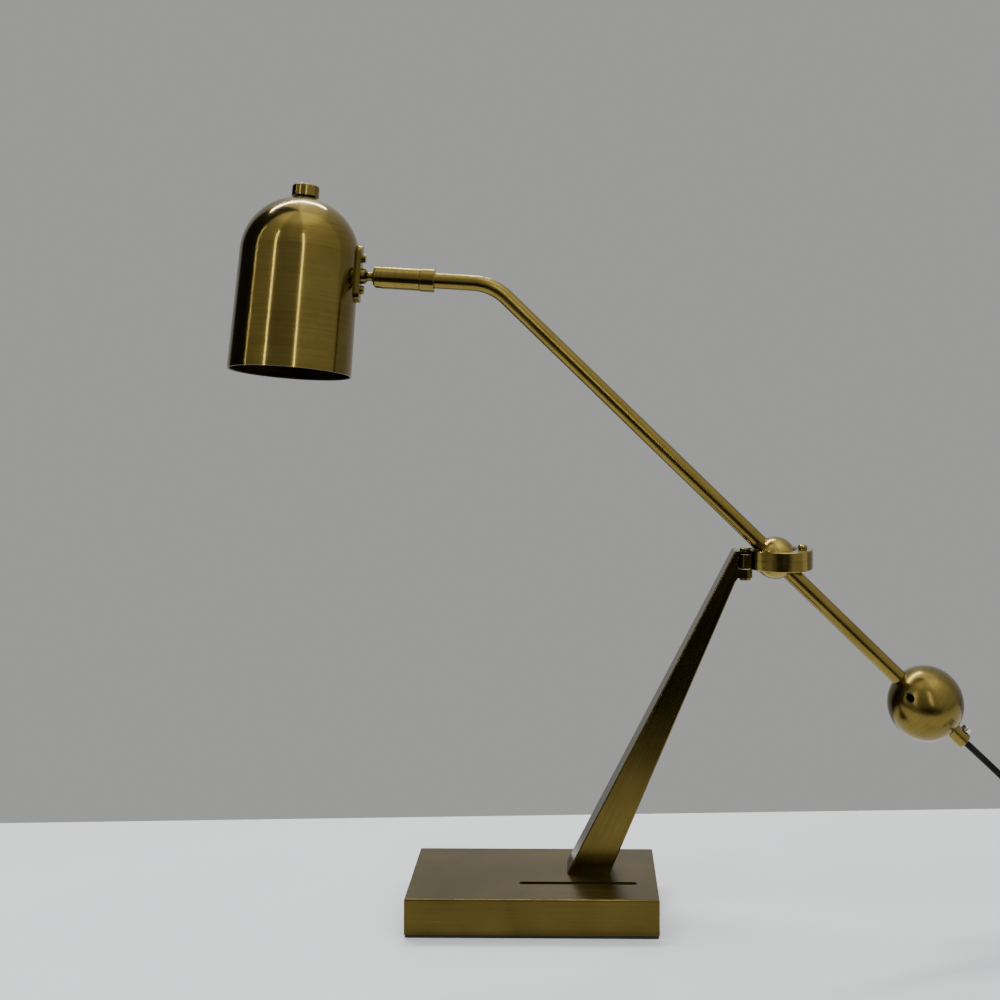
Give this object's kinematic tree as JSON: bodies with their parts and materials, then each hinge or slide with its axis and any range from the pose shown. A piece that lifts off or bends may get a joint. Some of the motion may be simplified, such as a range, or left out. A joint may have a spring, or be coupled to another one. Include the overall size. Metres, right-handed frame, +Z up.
{
  "type": "swing arm desk lamp",
  "caption": "Brass swing arm desk lamp: weighted slab base, leaning post, ball-and-ring joint, bent tube with a sliding ball weight, and a bell shade on a ball stud.",
  "frame": {"origin": "middle of the base's underside, on the table", "axes": "+Z up, +X along the base towards the counterweight, +Y to the back"},
  "size_m": [0.7682, 0.1366, 0.5393],
  "materials": {
    "brass_satin": "satin brushed, aged",
    "brass_polished": "polished, aged",
    "brass_tube": "drawn and buffed along its length",
    "brass_spun": "spun and brushed round its axis",
    "steel_plated": "bright plated",
    "iron_weight": "painted casting",
    "black_rubber": "matt",
    "black_moulding": "matt",
    "white_nylon": "matt",
    "bulb_opal": "opal"
  },
  "bodies": {
    "base": {"base_cover": "brass_satin", "base_weight": "iron_weight", "base_screws": "steel_plated", "base_pad": "black_rubber", "post": "brass_satin", "post_foot": "iron_weight", "post_bolts": "steel_plated", "post_head": "brass_satin", "hinge_bolt": "brass_polished", "hinge_nut": "brass_polished", "hinge_washers": "white_nylon"},
    "clamp_ring": {"ring_upper": "brass_polished", "ring_lower": "brass_polished", "clamp_screw": "brass_polished"},
    "ball_seat": {"seat_liner": "white_nylon", "supply_cord": "black_rubber", "cord_coil": "black_rubber", "cord_plug_end": "black_rubber", "plug_body": "black_rubber", "plug_pins": "steel_plated"},
    "ball": {"pivot_ball": "brass_polished", "ball_grub": "steel_plated"},
    "arm": {"arm_tube": "brass_tube", "tail_bush": "black_moulding", "cord_clamp_screw": "steel_plated", "arm_lead": "black_rubber", "joint_collar": "brass_tube", "swivel_spigot": "steel_plated"},
    "counterweight": {"counterweight": "brass_spun", "counterweight_grub": "steel_plated"},
    "sleeve": {"swivel_sleeve": "brass_tube", "pressure_cup": "white_nylon", "disc_springs": "steel_plated"},
    "head": {"ball_stud": "brass_tube", "bracket_plate": "brass_tube", "bracket_screws": "brass_polished", "bracket_nuts": "steel_plated", "shade": "brass_spun", "switch_body": "black_moulding", "switch_nut": "steel_plated", "dome_washer": "steel_plated", "holder_strap": "steel_plated", "lampholder": "black_moulding", "holder_shell": "steel_plated", "bulb_cap": "steel_plated", "bulb_glass": "bulb_opal", "head_lead": "black_rubber"},
    "switch_knob": {"switch_knob": "brass_spun"}
  },
  "joints": [
    {"name": "ring_swivel", "type": "hinge", "parent": "base", "child": "clamp_ring", "pos_m": [0.1574, 0.0125, 0.256], "axis": [0, 0, 1], "range_deg": [-35, 35]},
    {"name": "ball_yaw", "type": "hinge", "parent": "clamp_ring", "child": "ball_seat", "pos_m": [0.1796, 0.0125, 0.2588], "axis": [0, 0, 1], "range_deg": [-60, 60]},
    {"name": "arm_tilt", "type": "hinge", "parent": "ball_seat", "child": "ball", "pos_m": [0.1796, 0.0125, 0.2588], "axis": [0, 1, 0], "range_deg": [-2.5, 60]},
    {"name": "arm_roll", "type": "hinge", "parent": "ball", "child": "arm", "pos_m": [0.1796, 0.0125, 0.2588], "axis": [0.7181, 0, -0.6959], "range_deg": [-45, 45]},
    {"name": "weight_slide", "type": "slide", "parent": "arm", "child": "counterweight", "axis": [0.7181, 0, -0.6959], "range_m": [-0.08, 0.003]},
    {"name": "head_swivel", "type": "hinge", "parent": "arm", "child": "sleeve", "pos_m": [-0.11657, 0.0125, 0.4686], "axis": [0.9981, 0, -0.061], "range_deg": [-170, 170]},
    {"name": "head_tilt", "type": "hinge", "parent": "sleeve", "child": "head", "pos_m": [-0.11657, 0.0125, 0.4686], "axis": [0.0074, -0.9925, 0.1216], "range_deg": [-4, 80]},
    {"name": "knob_turn", "type": "hinge", "parent": "head", "child": "switch_knob", "pos_m": [-0.17372, 0.01981, 0.53176], "axis": [0.0606, 0.1219, 0.9907], "range_deg": [0, 270]}
  ]
}
